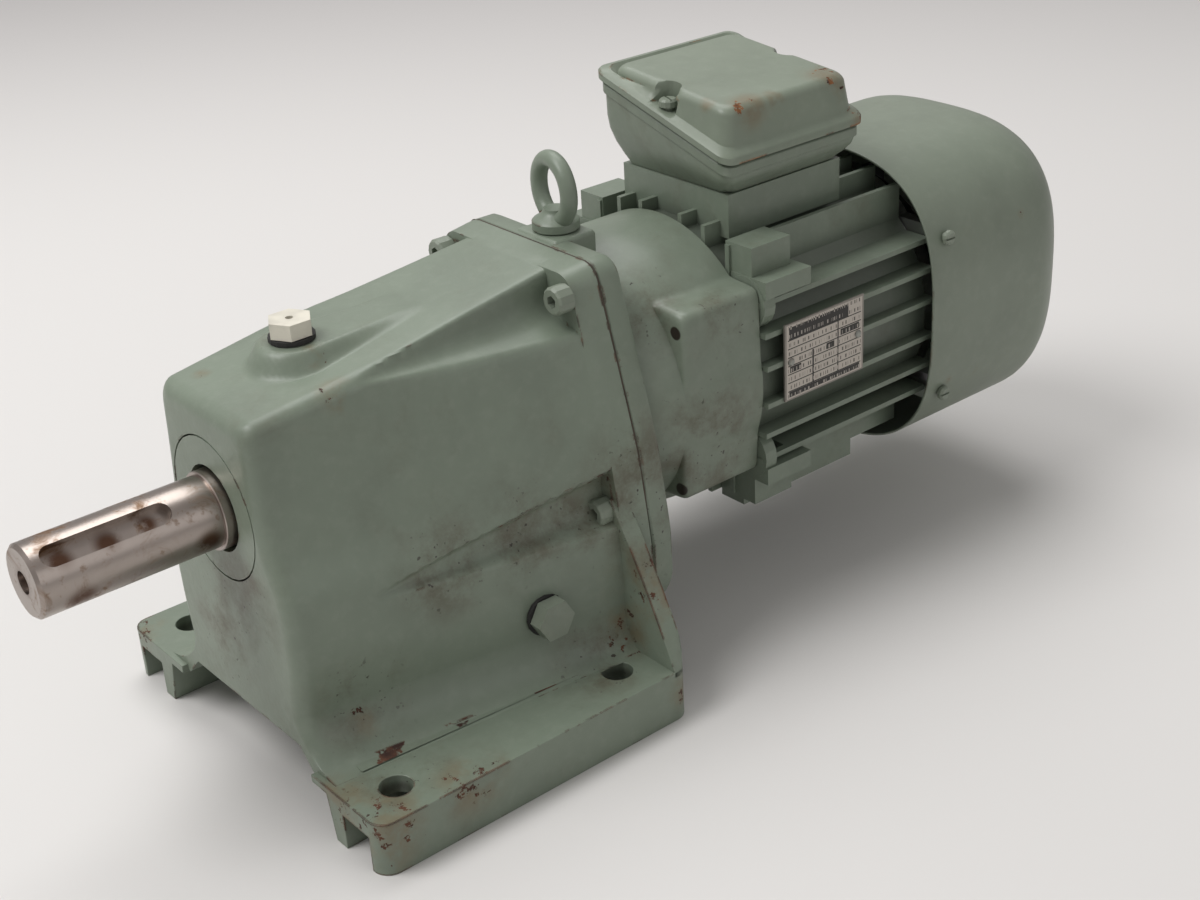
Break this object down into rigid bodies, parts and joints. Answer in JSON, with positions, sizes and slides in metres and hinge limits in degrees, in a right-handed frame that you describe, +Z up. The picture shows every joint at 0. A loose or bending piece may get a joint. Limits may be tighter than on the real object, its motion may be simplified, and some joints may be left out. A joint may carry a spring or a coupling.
{
  "type": "gear motor",
  "caption": "Foot-mounted helical gear motor: green cast housing, keyed output shaft, finned motor with fan cowl, terminal box and lifting eye.",
  "frame": {"origin": "on the floor, midway between the shaft's tip and the cowl's back, on the shaft's middle plane", "axes": "-X along the output shaft out of the housing, +X towards the fan cowl, +Z up, -Y the side with the nameplate"},
  "size_m": [0.5582, 0.214, 0.2548],
  "materials": {
    "painted_cast_iron": "satin paint, worn",
    "painted_aluminium": "satin paint, worn",
    "painted_steel": "satin paint, worn",
    "shaft_steel": "ground, lightly stained",
    "gear_steel": "machined",
    "bearing_steel": "ground",
    "zinc": "zinc plated",
    "lamination": "dull",
    "copper_winding": "varnished copper",
    "black_rubber": "matte",
    "gasket_paper": "matte",
    "white_plastic": "satin",
    "black_plastic": "matte",
    "cast_aluminium": "as cast",
    "plate_metal": "satin"
  },
  "bodies": {
    "base": {"gear_housing": "painted_cast_iron", "housing_gasket": "gasket_paper", "rear_flange": "painted_cast_iron", "front_cover_ring": "painted_cast_iron", "output_shaft_seal": "black_rubber", "input_shaft_seal": "black_rubber", "output_bearing_front": "bearing_steel", "output_bearing_rear": "bearing_steel", "lay_bearing_front": "bearing_steel", "lay_bearing_rear": "bearing_steel", "drive_end_bearing": "bearing_steel", "fan_end_bearing": "bearing_steel", "housing_screw_1": "zinc", "housing_screw_2": "zinc", "housing_screw_3": "zinc", "housing_screw_4": "zinc", "breather_plug": "white_plastic", "breather_plug_washer": "black_rubber", "drain_plug": "painted_steel", "drain_plug_washer": "black_rubber", "eye_bolt": "painted_steel", "motor_adapter": "painted_aluminium", "adapter_screw_1": "zinc", "adapter_screw_2": "zinc", "adapter_screw_3": "zinc", "adapter_screw_4": "zinc", "motor_frame": "painted_aluminium", "stator_core": "lamination", "stator_winding_front": "copper_winding", "stator_winding_rear": "copper_winding", "end_shield": "cast_aluminium", "fan_cowl": "painted_steel", "cowl_screw_1": "zinc", "cowl_screw_2": "zinc", "cowl_screw_3": "zinc", "cowl_screw_4": "zinc", "terminal_box_base": "painted_aluminium", "terminal_box_seal": "black_rubber", "terminal_box_cover": "painted_steel", "cover_screw_front": "zinc", "cover_screw_rear": "zinc", "terminal_board": "black_plastic", "cable_gland": "black_plastic", "nameplate": "plate_metal", "plate_rivet_1": "zinc", "plate_rivet_2": "zinc"},
    "output": {"output_shaft": "shaft_steel", "output_gear": "gear_steel", "output_gear_key": "shaft_steel"},
    "lay": {"lay_shaft": "gear_steel", "input_gear": "gear_steel", "input_gear_key": "shaft_steel"},
    "rotor": {"rotor_shaft": "shaft_steel", "rotor_core": "lamination", "motor_pinion": "gear_steel", "cooling_fan": "black_plastic"}
  },
  "joints": [
    {"name": "rotor_spin", "type": "hinge", "parent": "base", "child": "rotor", "pos_m": [0.1021, 0, 0.1225], "axis": [1, 0, 0], "continuous": true},
    {"name": "lay_spin", "type": "hinge", "parent": "base", "child": "lay", "pos_m": [-0.0664, 0, 0.085], "axis": [1, 0, 0], "continuous": true},
    {"name": "output_spin", "type": "hinge", "parent": "base", "child": "output", "pos_m": [-0.1951, 0, 0.13], "axis": [1, 0, 0], "continuous": true}
  ],
  "couplings": [
    {"joint": "lay_spin", "follows": "rotor_spin", "ratio": -0.25},
    {"joint": "output_spin", "follows": "rotor_spin", "ratio": 0.05}
  ]
}
